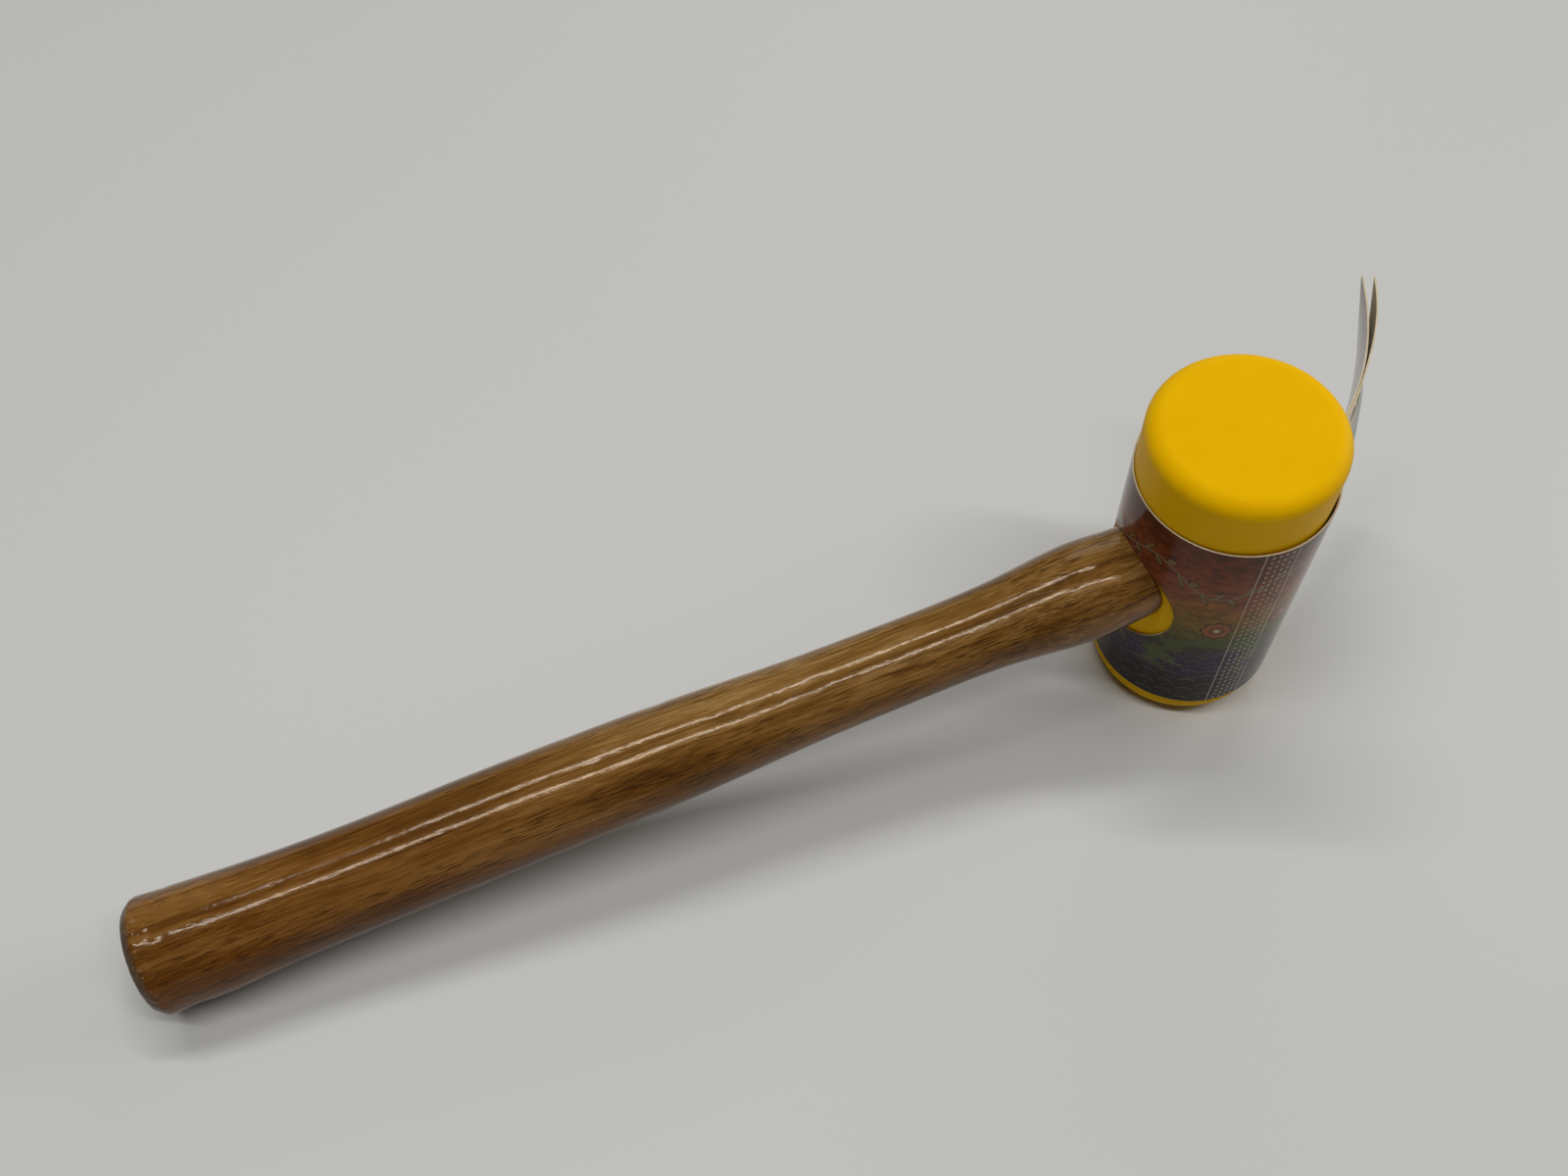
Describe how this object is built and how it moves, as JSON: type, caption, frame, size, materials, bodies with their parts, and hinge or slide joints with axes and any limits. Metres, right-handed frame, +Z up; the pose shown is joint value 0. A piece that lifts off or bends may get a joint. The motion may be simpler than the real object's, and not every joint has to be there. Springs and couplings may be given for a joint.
{
  "type": "plastic mallet",
  "caption": "Plastic-headed mallet with a turned wooden handle, wedged eye, and a loose printed card sleeve with a hang tab.",
  "frame": {"origin": "centre of the whole object's box in plan, on the surface that the foot's edge and the butt rest on", "axes": "+X from the butt to the head and on to the hang tab, +Z up; the head leans back with the handle"},
  "size_m": [0.4262, 0.0778, 0.1246],
  "materials": {
    "head_plastic": "satin moulded",
    "handle_wood": "stained and lacquered",
    "wedge_wood": "raw",
    "wedge_steel": "plain",
    "printed_card": "gloss varnished print",
    "staple_wire": "zinc plated"
  },
  "bodies": {
    "mallet": {"mallet_head": "head_plastic", "handle": "handle_wood", "wooden_wedge": "wedge_wood", "steel_wedges": "wedge_steel"},
    "sleeve": {"card_sleeve": "printed_card"},
    "hang_tab": {"tab_leaf_left": "printed_card", "tab_leaf_right": "printed_card", "tab_staples": "staple_wire"}
  },
  "joints": [
    {"name": "sleeve_slip", "type": "slide", "parent": "mallet", "child": "sleeve", "axis": [-0.1419, 0, 0.9899], "range_m": [0, 0.0104]},
    {"name": "tab_fold", "type": "hinge", "parent": "sleeve", "child": "hang_tab", "pos_m": [0.14946, -0.01102, 0.06125], "axis": [-0.1419, 0, 0.9899], "range_deg": [-100, 45]}
  ]
}
